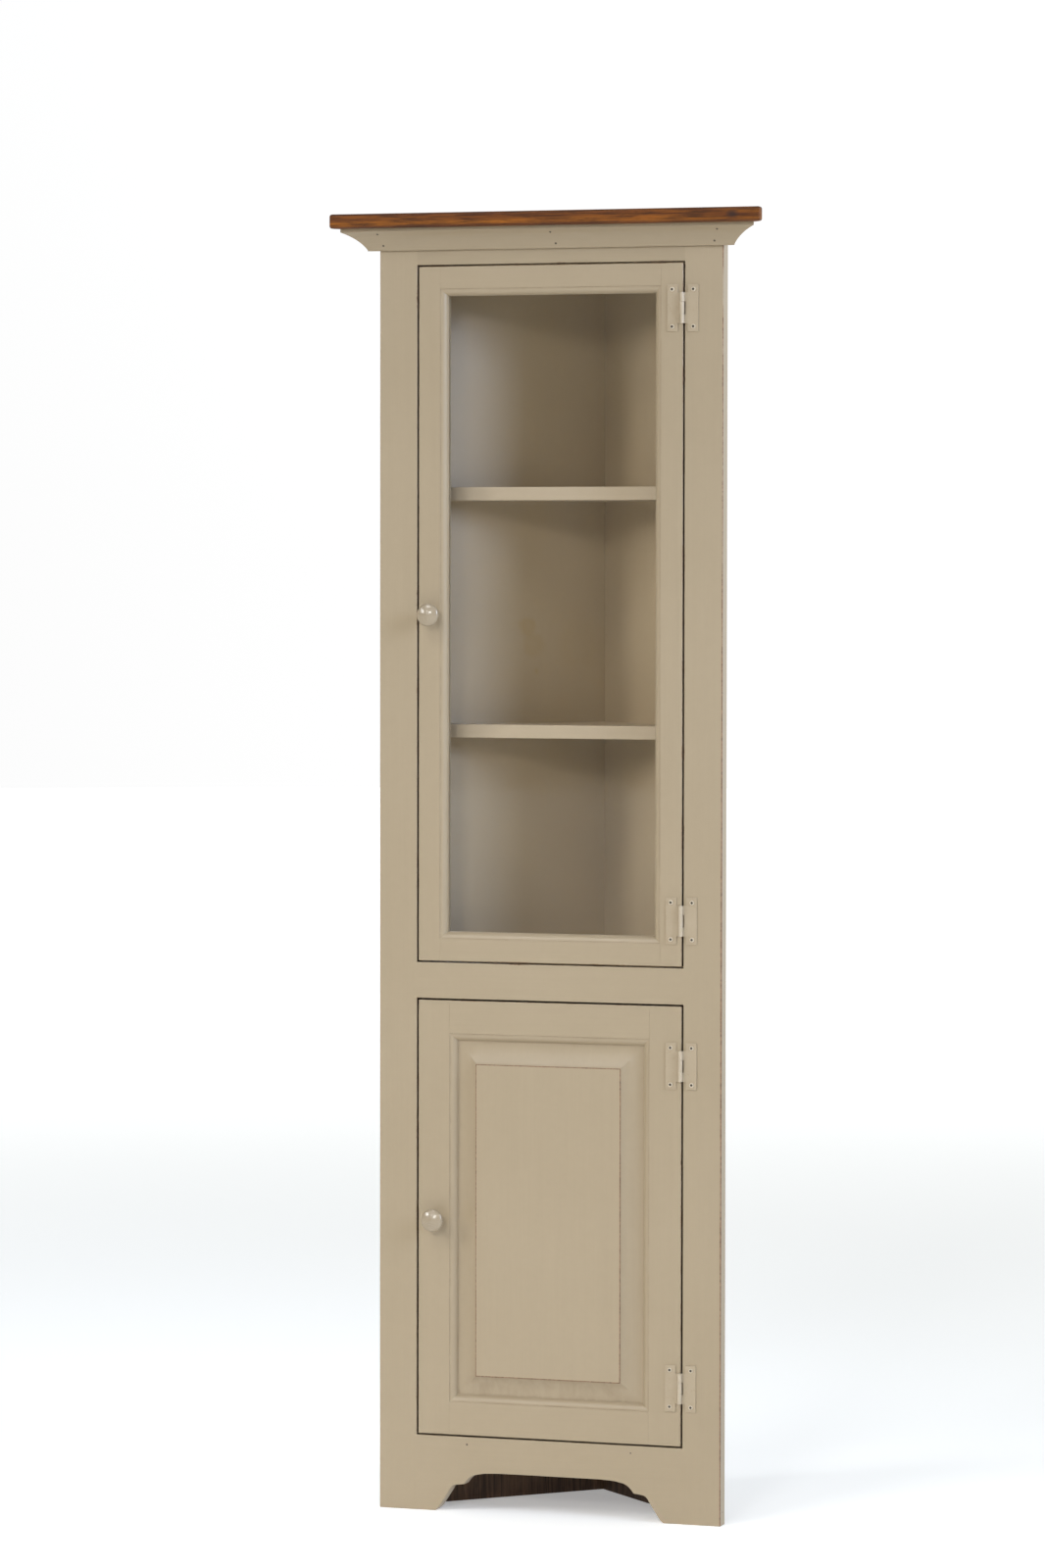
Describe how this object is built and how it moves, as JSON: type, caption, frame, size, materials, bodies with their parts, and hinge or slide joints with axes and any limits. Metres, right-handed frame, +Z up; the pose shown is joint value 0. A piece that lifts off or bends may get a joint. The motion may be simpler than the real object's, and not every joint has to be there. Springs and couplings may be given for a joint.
{
  "type": "corner pantry cabinet",
  "caption": "Painted corner pantry cabinet with a glazed upper door, a raised-panel lower door, cove crown, stained wood top and bracket-foot apron.",
  "frame": {"origin": "on the floor, in the middle of the bounding box", "axes": "+X to the right as seen from the front, +Y from the front to the back corner, +Z up"},
  "size_m": [0.6294, 0.3168, 1.829],
  "materials": {
    "painted_wood": "satin taupe paint, edges lightly rubbed through",
    "stained_wood": "orange-brown stain under satin lacquer",
    "knob_paint": "cream satin paint",
    "glass": "clear",
    "hinge_paint": "painted over with the cabinet's paint",
    "steel": "zinc plated",
    "dark_steel": "set nail heads, filled dark",
    "catch_plastic": "moulded brown",
    "ferrite": "ground ferrite"
  },
  "bodies": {
    "carcass": {"top_board": "stained_wood", "crown_moulding": "painted_wood", "crown_brads": "dark_steel", "frame_stile_left": "painted_wood", "frame_stile_right": "painted_wood", "frame_rail_top": "painted_wood", "frame_rail_middle": "painted_wood", "apron_rail": "painted_wood", "back_board_left": "painted_wood", "back_board_right": "painted_wood", "sub_top": "painted_wood", "upper_shelf_high": "painted_wood", "upper_shelf_low": "painted_wood", "middle_deck": "painted_wood", "cupboard_shelf": "painted_wood", "bottom_deck": "painted_wood", "upper_frame_hinge_leaves": "hinge_paint", "lower_frame_hinge_leaves": "hinge_paint", "hinge_pins": "hinge_paint", "frame_hinge_screws": "hinge_paint", "catch_blocks": "catch_plastic", "catch_magnets": "ferrite", "catch_screws": "steel", "frame_brads": "dark_steel", "top_board_screws": "steel"},
    "upper_door": {"upper_door_stile_knob": "painted_wood", "upper_door_stile_hinge": "painted_wood", "upper_door_rail_top": "painted_wood", "upper_door_rail_bottom": "painted_wood", "glass_pane": "glass", "glass_stops": "painted_wood", "upper_knob": "knob_paint", "upper_knob_screw": "steel", "upper_door_hinge_leaves": "hinge_paint", "upper_door_hinge_screws": "hinge_paint", "upper_strike_plate": "steel", "upper_strike_pins": "steel"},
    "lower_door": {"lower_door_stile_knob": "painted_wood", "lower_door_stile_hinge": "painted_wood", "lower_door_rail_top": "painted_wood", "lower_door_rail_bottom": "painted_wood", "raised_panel": "painted_wood", "lower_knob": "knob_paint", "lower_knob_screw": "steel", "lower_door_hinge_leaves": "hinge_paint", "lower_door_hinge_screws": "hinge_paint", "lower_strike_plate": "steel", "lower_strike_pins": "steel"}
  },
  "joints": [
    {"name": "upper_door_hinge", "type": "hinge", "parent": "carcass", "child": "upper_door", "pos_m": [0.1939, -0.12525, 1.268], "axis": [0, 0, 1], "range_deg": [0, 135]},
    {"name": "lower_door_hinge", "type": "hinge", "parent": "carcass", "child": "lower_door", "pos_m": [0.1939, -0.12525, 0.4155], "axis": [0, 0, 1], "range_deg": [0, 135]}
  ]
}
